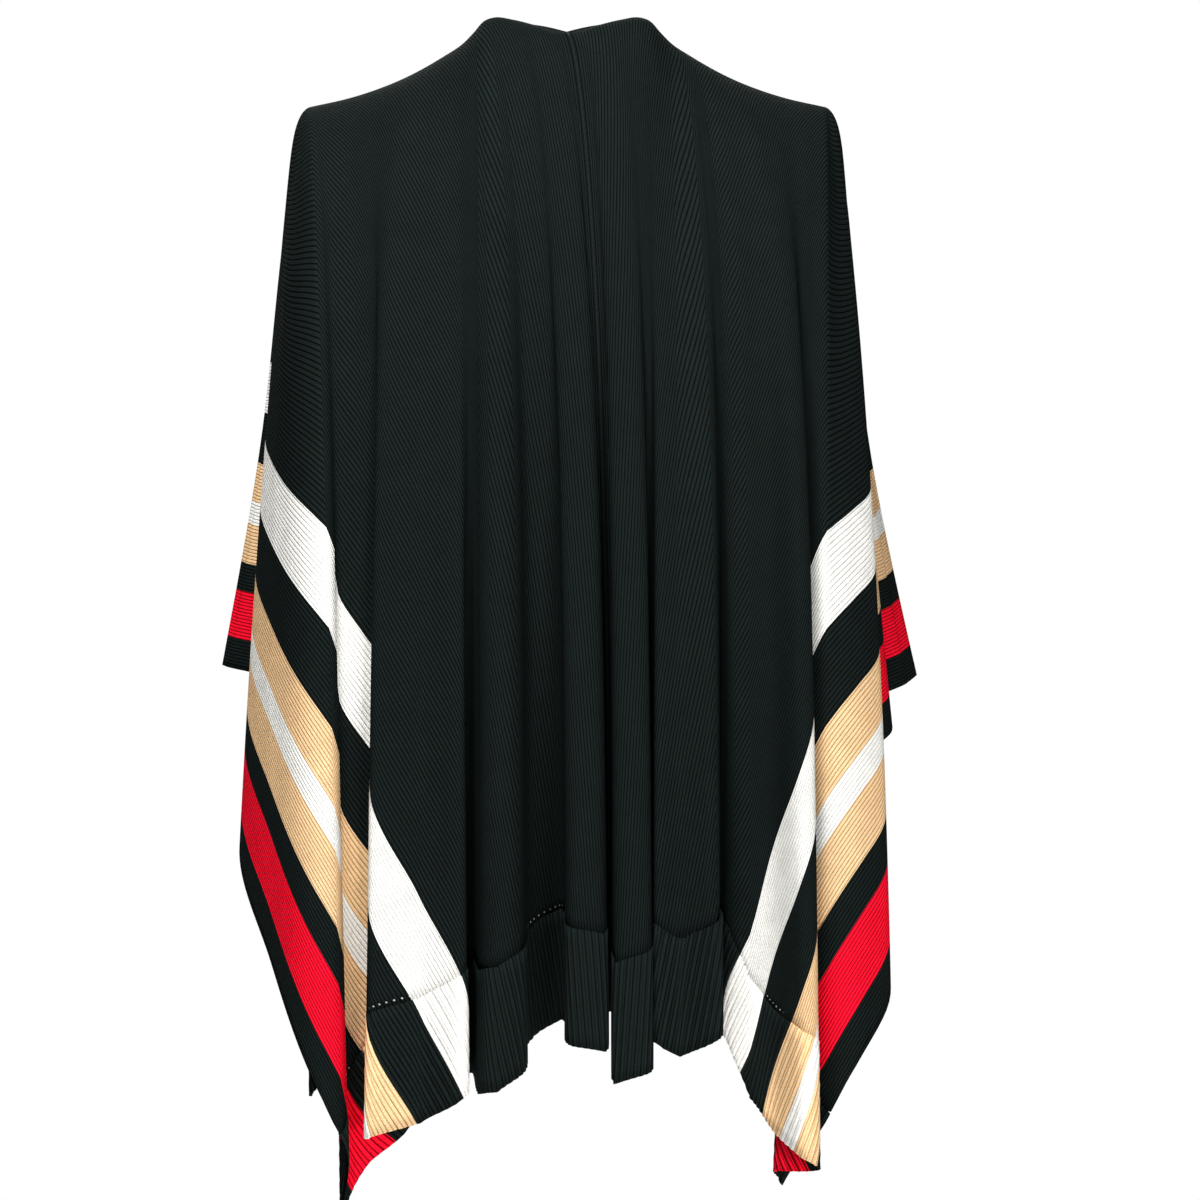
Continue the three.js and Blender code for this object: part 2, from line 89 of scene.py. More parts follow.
FOLD_COLUMNS = (
    "top", "fan", "across", "out", "shift", "sunk", "start", "settle", "turn", "stretch",
)
LEFT_FOLDS = [
    ("centre_seam", 0, 0, -35, 150, 0, -82, 110, 0.3, 0, 1),
    ("seam_side", 6, 0.5, -31, 150, 6, -82, 110, 0.3, 0, 1),
    ("fold_1_right", 16, 4.6, -27, 150, -3, -4, 110, 0.28, 0, 1.03),
    ("fold_1_left", 34, 5.8, -6, 150, 0, 0, 120, 0.26, 0, 1.03),
    ("recess_right", 52, 9.9, 6, 150, -2, -78, 130, 0.25, 0, 1.01),
    ("recess_left", 68, 11, 26, 150, 3, -78, 130, 0.25, 0, 1.03),
    ("ridge_right", 74, 14.6, 37, 150, -2, -2, 140, 0.25, 0, 1.04),
    ("ridge", 79, 16, 52, 158, 0, 0, 140, 0.25, 0, 1.045),
    ("ridge_left", 83, 18.6, 66, 148, 0, -10, 160, 0.25, 0, 1.03),
    ("slot_right", 86, 21.4, 71, 150, 2, -60, 200, 0.25, 0, 0.995),
    ("slot_left", 88.5, 24.4, 77, 150, 9, -58, 200, 0.25, 0, 0.976),
    ("flat_right", 91, 26.4, 82, 150, -6, 0, 160, 0.26, 0, 0.966),
    ("flat", 122, 27.3, 112, 150, 0, -10, 160, 0.24, 0, 0.972),
    ("flat_left", 158, 27.6, 143, 150, 8, 1, 80, 0.22, 0, 0.965),
    ("flat_edge", 166, 27.8, 145, 150, 8, -7, 70, 0.22, 0, 0.96),
    ("tuck_inside", 190, 28.3, 149, 148, -25, -26, 60, 0.22, 0, 0.935),
    ("tuck_foot", 200, 28.5, 151, 148, -26, -37, 60, 0.22, 0, 0.935),
    ("strip_right", 216, 29.3, 157, 146, -1, -43, 60, 0.22, 0, 0.955),
    ("strip_left", 232, 30.6, 178, 144, -1, -42, 60, 0.22, 0, 0.985),
    ("outer_right", 240, 33.4, 190, 146, -16, 0, 60, 0.22, 0, 0.99),
    ("outer_top", 240, 34, 196, 145, -15, 5, 60, 0.24, 0, 0.985),
    ("outer", 240, 40, 242, 100, -8, 0, 60, 0.4, 0, 0.96),
    ("back_outline", 240, 47, 276, 8, 0, 0, 0, 0.8, 0, 0.945),
    ("side_tuck_1_back", 240, 56, 280, -10, -128, 2, 80, 1, 0, 0.96),
    ("side_tuck_1_front", 240, 58.5, 284, -16, -130, -6, 80, 1, 0, 0.97),
    ("side_fold_back", 240, 66, 288, -30, -22, 0, 80, 1, 0, 1),
    ("side_fold_front", 240, 68, 290, -36, -22, -6, 80, 1, 0, 1),
    ("side_tuck_2_back", 240, 76, 298, -55, -154, -2, 80, 1, 0, 1),
    ("side_tuck_2_front", 240, 78.5, 300, -62, -154, -6, 80, 1, 0, 1),
    ("sleeve_back", 240, 87, 303, -80, -12, -2, 80, 2, 0, 1.02),
    ("sleeve_end", 240, 91, 308, -90, 42, -2, 280, 2, 0, 1.02),
    ("front_tuck_back", 240, 107, 312, -108, -134, -2, 80, 1, 0, 1),
    ("front_tuck_front", 240, 110.5, 308, -116, -132, -6, 80, 1, 0, 1),
    ("front_side", 240, 130, 290, -140, -6, -2, 40, 1, 0, 1),
    ("front_outline", 240, 139, 274, -165, 0, 0, 0, 0.6, 0, 1),
    ("front_crest_1", 240, 146.5, 247, -190, -2, -18, 60, 0.4, -9, 0.955),
    ("front_valley_1", 240, 150.9, 222, -190, 0, 24, 60, 0.3, -9, 0.95),
    ("front_crest_2", 240, 154.4, 207, -190, 0, -22, 80, 0.28, -9, 0.965),
    ("front_valley_2", 240, 158.9, 190, -190, 0, 22, 80, 0.28, -9, 1),
    ("front_crest_3", 240, 163.4, 172, -190, 0, -22, 120, 0.28, -9, 1),
    ("front_valley_3", 200, 165.8, 155, -190, 0, 30, 140, 0.28, -9, 1),
    ("front_crest_4", 166, 167.9, 135, -190, 0, -24, 160, 0.28, -9, 1),
    ("front_valley_4", 122, 170.3, 118, -190, 0, 30, 170, 0.28, -9, 1),
    ("front_crest_5", 91, 172.8, 98, -190, 0, -22, 170, 0.28, -9, 1),
    ("front_valley_5", 52, 175.5, 80, -188, 0, 28, 170, 0.28, -9, 1),
    ("front_crest_6", 16, 178.4, 62, -185, 0, -14, 170, 0.28, -9, 1),
    ("front_edge", 0, 180, 40, -185, 0, 14, 170, 0.28, 0, 1),
]

RIGHT_FOLDS = [
    ("centre_seam", 0, 0, 35, 150, 0, -82, 110, 0.3, 0, 1),
    ("seam_side", 6, 0.5, 39, 150, 6, -82, 110, 0.3, 0, 1),
    ("fold_2_left", 16, 4.6, 43, 150, -4, -2, 110, 0.3, 0, 1.06),
    ("fold_2_right", 34, 6, 63, 152, 1, 0, 110, 0.3, 0, 1.055),
    ("slot_left", 50, 9.3, 67, 150, -5, -58, 150, 0.28, 0, 1.03),
    ("slot_right", 60, 10.2, 70, 150, 3, -60, 150, 0.28, 0, 1.02),
    ("ridge_left", 76, 11.7, 76, 150, -6, -10, 150, 0.28, 0, 1.02),
    ("ridge_hollow", 95, 12, 89, 150, 0, -18, 150, 0.26, 0, 1.02),
    ("ridge_right", 104, 14, 119, 150, 0, 2, 150, 0.26, 0, 0.99),
    ("ridge_foot", 106.5, 16, 122, 150, -5, -24, 160, 0.255, 0, 0.96),
    ("recess_left", 109, 19, 125, 150, -18, -84, 170, 0.25, 0, 0.93),
    ("recess", 113, 20.4, 128, 150, -10, -92, 170, 0.25, 0, 0.92),
    ("recess_right", 118, 24, 134, 150, -6, -54, 170, 0.25, 0, 0.93),
    ("white_side", 126, 25.8, 147, 150, -1, -50, 170, 0.24, 0, 0.965),
    ("step", 140, 28, 166, 150, 0, -38, 130, 0.24, 0, 0.97),
    ("ridge_outer", 154, 29.2, 182, 150, 1, 0, 80, 0.22, 0, 0.97),
    ("edge", 172, 30, 190, 148, 5, -6, 60, 0.22, 0, 0.965),
    ("tuck_inside", 202, 30.9, 194, 140, -25, -48, 60, 0.22, 0, 0.95),
    ("tuck_foot", 216, 31.4, 197, 138, -24, -58, 60, 0.22, 0, 0.95),
    ("outer_left", 240, 33.2, 204, 134, 0, -20, 60, 0.24, 0, 0.97),
    ("outer", 240, 36, 230, 120, 0, 0, 0, 0.4, 0, 0.98),
    ("back_outline", 240, 38.5, 255, 98, 0, 0, 0, 0.5, 0, 0.985),
    ("side_tuck_1_back", 240, 51, 265, 66, -140, -8, 60, 1, 0, 1),
    ("side_tuck_1_front", 240, 54, 268, 58, -141, -14, 60, 1, 0, 1),
    ("side_fold", 240, 68, 268, 22, 24, 4, 260, 1, 0, 1.03),
    ("sleeve_hollow", 240, 76, 280, -28, -20, 0, 60, 1, 0, 1.03),
    ("sleeve_back", 240, 84, 284, -78, 64, 0, 230, 2, 0, 1.04),
    ("sleeve_end", 240, 91, 291, -106, 80, 0, 230, 2, 0, 1.04),
    ("front_tuck_back", 240, 107, 310, -122, -132, 0, 80, 1, 0, 1),
    ("front_tuck_front", 240, 110.5, 308, -130, -130, -4, 80, 1, 0, 1),
    ("front_side", 240, 130, 284, -152, -6, 0, 40, 1, 0, 1),
    ("front_outline", 240, 139, 269, -176, 0, 0, 0, 0.6, 0, 1),
    ("front_crest_1", 240, 146.5, 247, -198, -2, -18, 60, 0.4, -9, 0.955),
    ("front_valley_1", 240, 150.9, 221, -198, 0, 24, 60, 0.3, -9, 0.95),
    ("front_crest_2", 240, 155, 204, -196, 0, -28, 80, 0.28, -9, 0.965),
    ("front_valley_2", 240, 160.2, 182, -194, 0, 34, 80, 0.28, -9, 1),
    ("front_crest_3", 202, 163.8, 162, -192, 0, -24, 120, 0.28, -9, 1),
    ("front_valley_3", 154, 167, 140, -190, 0, 34, 140, 0.28, -9, 1),
    ("front_crest_4", 112, 170.2, 116, -190, 0, -26, 160, 0.28, -9, 1),
    ("front_valley_4", 76, 173.4, 94, -188, 0, 34, 170, 0.28, -9, 1),
    ("front_crest_5", 34, 177.6, 68, -186, 0, -16, 170, 0.28, -9, 1),
    ("front_edge", 0, 180, 46, -184, 0, 12, 170, 0.28, 0, 1),
]
print(len(LEFT_FOLDS), "rows of folds on the left,", len(RIGHT_FOLDS), "on the right")

# %% [markdown]
# A smooth curve through the rows of a table gives every column a value anywhere between
# two folds. The slope at a row is weighted by the nearer neighbour, so tight folds keep
# their shape beside wide ones.


# %%
def smooth_column(places, values):
    places = np.asarray(places, float)
    values = np.asarray(values, float)
    steps = np.diff(places)
    rises = np.diff(values) / steps
    slopes = np.empty_like(values)
    slopes[0], slopes[-1] = rises[0], rises[-1]
    slopes[1:-1] = (rises[:-1] * steps[1:] + rises[1:] * steps[:-1]) / (steps[:-1] + steps[1:])

    def at(t):
        i = np.clip(np.searchsorted(places, t, side="right") - 1, 0, len(places) - 2)
        h = steps[i]
        u = (t - places[i]) / h
        v = 1 - u
        ends = values[i] * v * v * (1 + 2 * u) + values[i + 1] * u * u * (3 - 2 * u)
        return ends + h * slopes[i] * u * v * v - h * slopes[i + 1] * u * u * v

    return at


along = [row[0] for row in SHOULDER_LINE]
shoulder = {
    name: smooth_column(along, [row[i] for row in SHOULDER_LINE])
    for i, name in enumerate(SHOULDER_COLUMNS)
    if name != "along"
}
print("the shoulder point is at", [round(float(f(SHOULDER))) for f in shoulder.values()])

# %% [markdown]
# The drape. Cloth leaves the shoulder line, rolls over it and hangs. Rows that leave the
# shoulder line hang side by side; rows that leave the shoulder point open like a fan, which
# is why the straight stripes rise across the back of the finished garment.


# %%
HALVINGS = 50
LOOKUP_PLACES = 12001
WIDEST_FAN = 60


class Drape:
    def __init__(self, table, side):
        self.side = side
        rows = []
        for row in table:
            fold = dict(zip(FOLD_COLUMNS, row[1:]))
            ends = (-1, 1) if fold["turn"] else (0,)
            for end in ends:
                turned = dict(fold)
                turned["fan"] += math.degrees(end * abs(fold["turn"]) / 2 / REACH)
                turned["across"] += end * fold["turn"] / 2
                rows.append(turned)
        places = [0.0]
        for before, row in zip(rows, rows[1:]):
            turn = REACH * math.radians(row["fan"] - before["fan"])
            places.append(places[-1] + abs(row["top"] - before["top"]) + turn)
        self.places = np.array(places)
        self.tops = [row["top"] for row in rows]
        self.column = {
            name: smooth_column(places, [row[name] for row in rows])
            for name in ("across", "out", "shift", "sunk")
        }
        for name in ("top", "fan", "start", "settle", "stretch"):
            values = [row[name] for row in rows]
            self.column[name] = lambda t, values=values: np.interp(t, self.places, values)

    def point(self, t, r):
        c = {name: f(t) for name, f in self.column.items()}
        anchor = {name: f(c["top"]) for name, f in shoulder.items()}
        r = r * c["stretch"]
        full = 1 - np.exp(-1 / c["settle"])
        swing = (1 - np.exp(-r / (REACH * c["settle"]))) / full
        grown = np.maximum(0, (r - c["start"]) / (REACH - c["start"]))
        fold = grown * grown * (1 + FOLD_EASE) / (grown + FOLD_EASE)
        to_x = c["across"] - anchor["across"]
        to_y = c["out"] - anchor["out"]
        reach = np.hypot(to_x, to_y)
        roll = np.maximum(0, ROLL_START - reach / (REACH * c["settle"] * full))
        roll_out = ROLL * (1 - np.exp(-roll * r / ROLL)) * np.exp(-r / ROLL_FADE)
        x = to_x * (swing + roll_out / reach) + c["shift"] * fold
        y = to_y * (swing + roll_out / reach) + c["sunk"] * fold
        near_neck = np.maximum(0, 1 - c["top"] / NECK_REACH)
        collar = near_neck**2 * (r / COLLAR_AT) * np.exp(1 - r / COLLAR_AT) * (c["fan"] > 90)
        x = x + COLLAR_OUT * collar
        drop = np.sqrt(np.maximum(r * r - x * x - y * y, LEAST_DROP * r * r))
        spot = [
            self.side * (anchor["across"] + x),
            anchor["out"] + y,
            anchor["up"] - drop + COLLAR_UP * collar,
        ]
        return np.stack(spot, axis=-1) * MM

    def cloth(self, t, r):
        """Where that point is on the flat panel: from the seam, and below the shoulder."""
        angle = np.radians(self.column["fan"](t))
        return self.column["top"](t) + r * np.sin(angle), r * np.cos(angle)

    def place_of_top(self, top, on_front):
        half = self.places[-1] / 2
        low, high = (half, self.places[-1]) if on_front else (0.0, half)
        for _ in range(HALVINGS):
            middle = (low + high) / 2
            short = self.column["top"](middle) < top - 1e-9
            if short == on_front:
                high = middle
            else:
                low = middle
        return (low + high) / 2

    def place_of_cloth(self, a, b, on_front):
        """The place t of cloth points at distances a from the seam, b below the shoulder."""
        t = np.linspace(0, self.places[-1], LOOKUP_PLACES)
        fan = self.column["fan"](t)
        fan = 180 - fan if on_front else fan
        keep = fan < WIDEST_FAN
        across = self.column["top"](t[keep]) + b * np.tan(np.radians(fan[keep]))
        order = np.argsort(across)
        return np.interp(a, across[order], t[keep][order])


left = Drape(LEFT_FOLDS, 1)
right = Drape(RIGHT_FOLDS, -1)
print("cloth round the left panel:", round(left.places[-1]), "mm at the fold tables' level")

# %% [markdown]
# Each panel starts as a flat bmesh grid. Its vertices are laid on the drape, columns along
# the folds and rows down the cloth. The grid's top row is folded in two along the shoulder
# line and gathered at the shoulder point, so its doubles are merged. The UV map keeps the
# flat cloth's own metres, which is what the stripes and the stitches are drawn with.

# %%
TOP_COLUMNS = 84
FAN_COLUMNS = 300
PANEL_ROWS = 84
ROW_CROWDING = 1.25
MERGE = 2e-5


def grid_piece(name, spots, cloth, thickness):
    """A cloth shell from rows x columns of places (m) and flat cloth coordinates (mm)."""
    rows, columns = spots.shape[:2]
    bm = bmesh.new()
    bmesh.ops.create_grid(bm, x_segments=columns - 1, y_segments=rows - 1, size=0.5)
    uv = bm.loops.layers.uv.new("cloth")
    where = {}
    for vert in bm.verts:
        i = round((vert.co.y + 0.5) * (rows - 1))
        j = round((vert.co.x + 0.5) * (columns - 1))
        where[vert] = (i, j)
    for face in bm.faces:
        for loop in face.loops:
            loop[uv].uv = cloth[where[loop.vert]] * MM
    for vert, spot in where.items():
        vert.co = spots[spot]
    bmesh.ops.remove_doubles(bm, verts=bm.verts, dist=MERGE)
    mesh = bpy.data.meshes.new(name)
    bm.to_mesh(mesh)
    bm.free()
    for face in mesh.polygons:
        face.use_smooth = True
    piece = bpy.data.objects.new(name, mesh)
    bpy.context.collection.objects.link(piece)
    shell = piece.modifiers.new("wall", "SOLIDIFY")
    shell.thickness = thickness * MM
    shell.offset = 0
    return piece


def panel_spots(drape):
    tops = np.linspace(0, SHOULDER, TOP_COLUMNS + 1)[:-1]
    back = [drape.place_of_top(top, False) for top in tops]
    front = [drape.place_of_top(top, True) for top in tops[::-1]]
    first = drape.place_of_top(SHOULDER, False)
    last = drape.place_of_top(SHOULDER - 1e-6, True)
    t = np.concatenate([back, np.linspace(first, last, FAN_COLUMNS), front])
    angle = np.radians(drape.column["fan"](t))
    to_rib = (LENGTH - RIB_DEPTH) / np.maximum(np.abs(np.cos(angle)), 1e-6)
    to_side = DROP / np.maximum(np.sin(angle), 1e-6)
    end = np.minimum(to_rib, to_side)
    share = np.linspace(0, 1, PANEL_ROWS + 1) ** ROW_CROWDING
    place, r = np.broadcast_arrays(t, share[:, None] * end)
    spots = drape.point(place, r)
    if drape.side < 0:
        spots = spots[:, ::-1]
        place, r = place[:, ::-1], r[:, ::-1]
    return spots, np.stack(drape.cloth(place, r), axis=-1)


panels = {}
for name, drape in (("left", left), ("right", right)):
    spots, cloth = panel_spots(drape)
    panels[name] = grid_piece(f"{name}_panel_knit", spots, cloth, WALL)
    print(name, "panel:", len(panels[name].data.polygons), "faces")

# %% [markdown]
# The hems are ribbed: the same knit, gathered into round ribs with narrow grooves. The ribs
# run down the cloth, so this grid has even columns across the flat panel, eight to a rib,
# and each column is lifted along the cloth's own normal.

# %%
RIB_COLUMNS = 8
RIB_ROWS = 9
RIB_HEIGHT = 1.3
RIB_LAP = 1.2
RIB_FLATNESS = 0.7
RIB_SINK = 0.35
WIDTH = (SHOULDER + DROP) * MM
RIBS = round(WIDTH * 1000 / RIB_PITCH)


def rib_spots(drape, on_front):
    a = np.linspace(0, SHOULDER + DROP, RIBS * RIB_COLUMNS + 1)
    levels = np.linspace(LENGTH - RIB_DEPTH - RIB_LAP, LENGTH, RIB_ROWS + 1)
    spots = []
    for b in levels:
        t = drape.place_of_cloth(a, b, on_front)
        fan = drape.column["fan"](t)
        angle = np.radians(180 - fan if on_front else fan)
        spots.append(drape.point(t, b / np.cos(angle)))
    spots = np.array(spots)
    cloth = np.stack(np.broadcast_arrays(a, (-levels if on_front else levels)[:, None]), axis=-1)
    across = np.gradient(spots, axis=1)
    down = np.gradient(spots, axis=0)
    normal = np.cross(across, down)
    normal /= np.linalg.norm(normal, axis=-1, keepdims=True)
    normal *= drape.side * (-1 if on_front else 1)
    wave = np.abs(np.sin(np.pi * a * MM * RIBS / WIDTH)) ** RIB_FLATNESS
    spots = spots + normal * (RIB_HEIGHT * MM * (wave - RIB_SINK))[None, :, None]
    if (drape.side < 0) != on_front:
        spots, cloth = spots[:, ::-1], cloth[:, ::-1]
    return spots, cloth


ribs = {}
for name, drape in (("left", left), ("right", right)):
    for place, on_front in (("back", False), ("front", True)):
        spots, cloth = rib_spots(drape, on_front)
        ribs[f"{name}_{place}"] = grid_piece(f"{name}_{place}_rib_knit", spots, cloth, WALL)
print("ribbed hems:", sorted(ribs))

# %% [markdown]
# The centre back seam is a line of loops pulled together, a narrow ridge in a shallow
# valley. A thin tube swept down the two panels' shared edge is enough, because most of it
# sinks between them.

# %%
SEAM_RADIUS = 1.5
SEAM_PLACES = 120


def tube_along(name, path, radius, sides=8):
    """A closed tube round a path of points, in metres."""
    bm = bmesh.new()
    ring = bmesh.ops.create_circle(bm, segments=sides, radius=radius * MM, cap_ends=False)["verts"]
    edges = list({edge for vert in ring for edge in vert.link_edges})
    heading = np.gradient(path, axis=0)
    heading /= np.linalg.norm(heading, axis=1, keepdims=True)
    side = np.cross(heading, [0.0, 1.0, 0.0])
    side /= np.linalg.norm(side, axis=1, keepdims=True)
    other = np.cross(heading, side)
    turns = [2 * math.pi * k / sides for k in range(sides)]

    def place(verts, i):
        for vert, turn in zip(verts, turns):
            offset = side[i] * math.cos(turn) + other[i] * math.sin(turn)
            vert.co = path[i] + offset * radius * MM

    place(ring, 0)
    first = ring
    for i in range(1, len(path)):
        grown = bmesh.ops.extrude_edge_only(bm, edges=edges)["geom"]
        ring = [part for part in grown if isinstance(part, bmesh.types.BMVert)]
        edges = [part for part in grown if isinstance(part, bmesh.types.BMEdge)
                 and part.verts[0] in ring and part.verts[1] in ring]
        place(ring, i)
    bmesh.ops.contextual_create(bm, geom=first)
    bmesh.ops.contextual_create(bm, geom=ring)
    bmesh.ops.recalc_face_normals(bm, faces=bm.faces)
    mesh = bpy.data.meshes.new(name)
    bm.to_mesh(mesh)
    bm.free()
    for face in mesh.polygons:
        face.use_smooth = True
    piece = bpy.data.objects.new(name, mesh)
    bpy.context.collection.objects.link(piece)
    return piece


down_seam = np.linspace(2, LENGTH - 1, SEAM_PLACES)
seam_path = left.point(np.zeros(SEAM_PLACES), down_seam)
other_edge = right.point(np.zeros(SEAM_PLACES), down_seam)
seam_path[:, 0] = (seam_path[:, 0] + other_edge[:, 0]) / 2
seam = tube_along("centre_back_seam", seam_path, SEAM_RADIUS)
print("seam:", len(seam.data.polygons), "faces")

# %% [markdown]
# The stripes run along the side edge, so they depend only on the distance from the shoulder
# point's own line of stitches. A colour ramp with constant steps reads that distance from
# the UV map.

# %%
BLACK = (0.0060, 0.0092, 0.0086, 1)
WHITE = (0.80, 0.79, 0.745, 1)
TAN = (0.72, 0.47, 0.25, 1)
RED = (0.76, 0.005, 0.022, 1)
STRIPES = [
    (0, BLACK), (208, WHITE), (250, BLACK), (293, TAN), (325, WHITE), (343, TAN),
    (375, BLACK), (399, RED), (440, BLACK),
]
WALE = 2.8
COURSE = 1.9
SEAM_SHADOW = 0.0045
EYELET_PITCH = 5.2
EYELET_RISE = 4.5
EYELET_SPREAD = 0.016
EYELET_PAINTED_LIGHT = (0.80, 0.78, 0.74, 1)


def math_node(nodes, links, operation, *inputs, clamp=False):
    node = nodes.new("ShaderNodeMath")
    node.operation = operation
    node.use_clamp = clamp
    for socket, value in zip(node.inputs, inputs):
        if isinstance(value, (int, float)):
            socket.default_value = value
        else:
            links.new(value, socket)
    return node.outputs[0]


def knit_material(name, wale_width, bump_strength, rib_groove_shading):
    material = bpy.data.materials.new(name)
    material.use_nodes = True
    nodes, links = material.node_tree.nodes, material.node_tree.links
    nodes.clear()

    def do(operation, *inputs, clamp=False):
        return math_node(nodes, links, operation, *inputs, clamp=clamp)

    output = nodes.new("ShaderNodeOutputMaterial")
    cloth = nodes.new("ShaderNodeBsdfPrincipled")
    links.new(cloth.outputs[0], output.inputs[0])
    uv = nodes.new("ShaderNodeUVMap")
    uv.uv_map = "cloth"
    split = nodes.new("ShaderNodeSeparateXYZ")
    links.new(uv.outputs[0], split.inputs[0])
    across, down = split.outputs[0], split.outputs[1]

    # Stitches: two slanting legs to a wale, one V to a course. The painted shading of their crests and
    # gaps shows most on darker yarn.
    wale = do("MULTIPLY", across, 1000 / wale_width)
    in_wale = do("ABSOLUTE", do("SUBTRACT", do("MULTIPLY", do("FRACT", wale), 2.0), 1.0))
    leg = do("SINE", do("MULTIPLY", in_wale, math.pi))
    slant = do("ADD", do("MULTIPLY", do("ABSOLUTE", down), 1000 / COURSE), do("MULTIPLY", in_wale, -0.8))
    loop = do("MULTIPLY_ADD", do("SINE", do("MULTIPLY", slant, 2 * math.pi)), 0.5, 0.5)
    crown = do("SUBTRACT", 1.0, do("MULTIPLY", in_wale, in_wale))
    height = do("MULTIPLY", crown, do("MULTIPLY_ADD", leg, 0.3, 0.7))
    height = do("MULTIPLY", height, do("MULTIPLY_ADD", loop, 0.3, 0.7))

    # Stripes.
    ramp = nodes.new("ShaderNodeValToRGB")
    ramp.color_ramp.interpolation = "CONSTANT"
    steps = ramp.color_ramp.elements
    while len(steps) > 1:
        steps.remove(steps[-1])
    steps[0].position, steps[0].color = 0, STRIPES[0][1]
    for start, colour in STRIPES[1:]:
        step = steps.new(start / DROP)
        step.color = colour
    edge = do("MULTIPLY", do("SUBTRACT", in_wale, 0.5), 0.0006)
    from_point = do("SUBTRACT", do("ADD", across, edge), SHOULDER * MM)
    links.new(do("DIVIDE", from_point, DROP * MM, clamp=True), ramp.inputs[0])

    # Yarn colour varies a little from place to place. Painted shading then lightens the crests of the
    # stitches and darkens the gaps between them.
    place = nodes.new("ShaderNodeTexCoord")
    patch = nodes.new("ShaderNodeTexNoise")
    patch.inputs["Scale"].default_value = 55
    patch.inputs["Detail"].default_value = 4
    links.new(place.outputs["Object"], patch.inputs["Vector"])
    heather = nodes.new("ShaderNodeTexNoise")
    heather.inputs["Scale"].default_value = 900
    heather.inputs["Detail"].default_value = 2
    links.new(place.outputs["Object"], heather.inputs["Vector"])
    patchy = do("MULTIPLY_ADD", patch.outputs[0], 0.3, 0.45)
    tone_and_painted_shading = do("ADD", patchy, do("MULTIPLY", heather.outputs[0], 0.8))
    grey = nodes.new("ShaderNodeRGBToBW")
    links.new(ramp.outputs[0], grey.inputs[0])
    # Painted highlight on the crests of the stitches and painted shadow in the gaps between them,
    # strongest on darker yarn.
    stitch_shading_strength = do("MULTIPLY_ADD", grey.outputs[0], -1.75, 1.9)
    stitch_painted_shading = do("MULTIPLY_ADD", do("SUBTRACT", height, 0.5), stitch_shading_strength, 1.0)
    tone_and_painted_shading = do("MULTIPLY", tone_and_painted_shading, do("MAXIMUM", stitch_painted_shading, 0.12))
    # The centre back seam lies in a shadowed groove.
    on_front = do("MULTIPLY", down, -100.0)
    past_seam = do("MAXIMUM", do("DIVIDE", across, SEAM_SHADOW), on_front, clamp=True)
    groove = do("MULTIPLY_ADD", past_seam, 0.7, 0.3)
    tone_and_painted_shading = do("MULTIPLY", tone_and_painted_shading, groove)
    # Painted shading darkens the narrow grooves between the ribs, more on darker yarn.
    if rib_groove_shading:
        rib = do("ABSOLUTE", do("SINE", do("MULTIPLY", across, math.pi * RIBS / WIDTH)))
        top = do("MULTIPLY", rib, 1.7, clamp=True)
        groove_shading_strength = do("MULTIPLY_ADD", grey.outputs[0], -0.75 * rib_groove_shading, rib_groove_shading)
        groove_painted_shadow = do("MULTIPLY", do("SUBTRACT", 1.0, top), groove_shading_strength)
        tone_and_painted_shading = do("MULTIPLY", tone_and_painted_shading, do("SUBTRACT", 1.08, groove_painted_shadow))
    tint = nodes.new("ShaderNodeMix")
    tint.data_type = "RGBA"
    tint.blend_type = "MULTIPLY"
    tint.inputs["Factor"].default_value = 1
    links.new(ramp.outputs[0], tint.inputs[6])
    links.new(tone_and_painted_shading, tint.inputs[7])
    colour = tint.outputs[2]

    # One row of small eyelets just above the ribbing. Pale dots are painted in them as light showing
    # through from behind, only along some stretches of the row.
    eyelet_x = do("SUBTRACT", do("FRACT", do("MULTIPLY", across, 1000 / EYELET_PITCH)), 0.5)
    above_rib = do("SUBTRACT", do("ABSOLUTE", down), (LENGTH - RIB_DEPTH - EYELET_RISE) * MM)
    eyelet_y = do("MULTIPLY", above_rib, 1000 / EYELET_PITCH)
    spread = do("ADD", do("MULTIPLY", eyelet_x, eyelet_x), do("MULTIPLY", eyelet_y, eyelet_y))
    backlit_stretch = do("GREATER_THAN", do("SINE", do("MULTIPLY", across, 41.0)), 0.55)
    lit_eyelet = do("MULTIPLY", do("LESS_THAN", spread, EYELET_SPREAD), backlit_stretch)
    light = nodes.new("ShaderNodeMix")
    light.data_type = "RGBA"
    light.inputs[7].default_value = EYELET_PAINTED_LIGHT
    links.new(do("MULTIPLY", lit_eyelet, 0.8), light.inputs["Factor"])
    links.new(colour, light.inputs[6])
    links.new(light.outputs[2], cloth.inputs["Base Color"])

    cloth.inputs["Roughness"].default_value = 0.88
    cloth.inputs["Specular IOR Level"].default_value = 0.02
    fuzz = do("MULTIPLY_ADD", heather.outputs[0], 0.25, height)
    bump = nodes.new("ShaderNodeBump")
    bump.inputs["Strength"].default_value = bump_strength
    bump.inputs["Distance"].default_value = 0.0009
    links.new(fuzz, bump.inputs["Height"])
    links.new(bump.outputs[0], cloth.inputs["Normal"])
    return material


flat_knit = knit_material("striped_knit", WALE, 0.8, 0)
rib_knit = knit_material("ribbed_knit", WIDTH * 1000 / RIBS / 2, 0.5, 1.0)
print("materials:", flat_knit.name, rib_knit.name)

# %% [markdown]
# The seam's own yarn is plain and twisted. Every knitted piece then gets its yarn.


